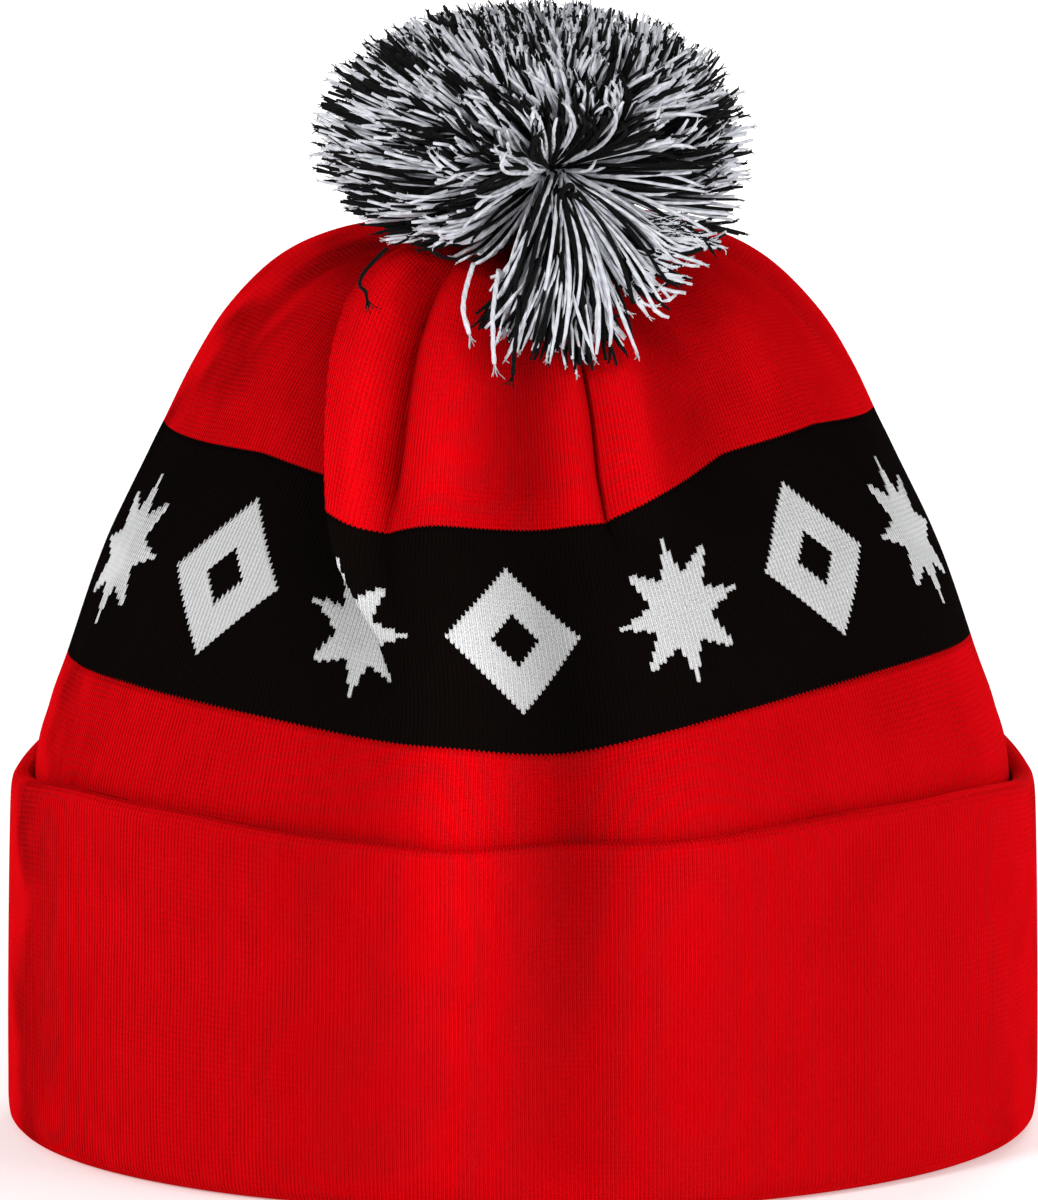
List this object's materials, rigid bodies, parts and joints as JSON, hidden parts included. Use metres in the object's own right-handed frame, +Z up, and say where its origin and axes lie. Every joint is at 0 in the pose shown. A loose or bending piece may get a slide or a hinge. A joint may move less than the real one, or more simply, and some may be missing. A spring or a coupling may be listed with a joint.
{
  "type": "knit beanie",
  "caption": "Lined knit beanie with a turned-up cuff, a patterned band of white figures on black and a two-colour yarn pompom on a short tether.",
  "frame": {"origin": "centre of the opening, in the plane of the rim", "axes": "+Z up from the rim to the pompom; -Y is the front, where the pompom leans; +X is the wearer's left"},
  "size_m": [0.2154, 0.1681, 0.2445],
  "materials": {
    "red_yarn": "matte fine rib knit in red acrylic yarn",
    "black_yarn": "matte black acrylic yarn",
    "white_yarn": "matte cool white acrylic yarn",
    "lining_yarn": "matte plain knit in red acrylic yarn",
    "label_cloth": "smooth woven satin tape, blank"
  },
  "bodies": {
    "shell": {"lower_panel": "red_yarn", "jacquard_band": "black_yarn", "crown_panel": "red_yarn", "diamond_motif_01": "white_yarn", "diamond_motif_03": "white_yarn", "diamond_motif_05": "white_yarn", "diamond_motif_07": "white_yarn", "diamond_motif_09": "white_yarn", "diamond_motif_11": "white_yarn", "diamond_motif_13": "white_yarn", "star_motif_02": "white_yarn", "star_motif_04": "white_yarn", "star_motif_06": "white_yarn", "star_motif_08": "white_yarn", "star_motif_10": "white_yarn", "star_motif_12": "white_yarn", "star_motif_14": "white_yarn", "lining_wall": "lining_yarn", "lining_crown": "lining_yarn", "back_seam": "red_yarn", "lining_seam": "lining_yarn", "crown_draw_thread": "red_yarn", "lining_draw_thread": "lining_yarn", "anchor_knot": "red_yarn", "anchor_tail_left": "red_yarn", "anchor_tail_right": "red_yarn"},
    "cuff": {"cuff_face": "red_yarn", "cuff_backing": "red_yarn", "cuff_seam": "red_yarn"},
    "tether": {"tether_cord_left": "red_yarn", "tether_cord_right": "red_yarn"},
    "pompom": {"black_tuft_02": "black_yarn", "black_tuft_04": "black_yarn", "black_tuft_06": "black_yarn", "black_tuft_08": "black_yarn", "black_tuft_10": "black_yarn", "black_tuft_12": "black_yarn", "white_tuft_01": "white_yarn", "white_tuft_03": "white_yarn", "white_tuft_05": "white_yarn", "white_tuft_07": "white_yarn", "white_tuft_09": "white_yarn", "white_tuft_11": "white_yarn", "tie_cord": "black_yarn", "tie_knot": "black_yarn", "loose_strand_1": "white_yarn", "loose_strand_2": "black_yarn", "loose_strand_3": "white_yarn", "loose_strand_4": "black_yarn"},
    "label": {"care_label": "label_cloth"}
  },
  "joints": [
    {"name": "cuff_unroll", "type": "slide", "parent": "shell", "child": "cuff", "axis": [0, 0, -1], "range_m": [0, 0.0745]},
    {"name": "pompom_swing", "type": "hinge", "parent": "shell", "child": "tether", "pos_m": [0, 0, 0.19], "axis": [0, 1, 0], "range_deg": [-8, 8]},
    {"name": "pompom_nod", "type": "hinge", "parent": "tether", "child": "pompom", "pos_m": [0, 0, 0.19], "axis": [1, 0, 0], "range_deg": [-24, 2]},
    {"name": "label_flap", "type": "hinge", "parent": "shell", "child": "label", "pos_m": [0.0362, 0.0666, 0.044], "axis": [-0.957, 0.29, 0], "range_deg": [0, 120]}
  ]
}
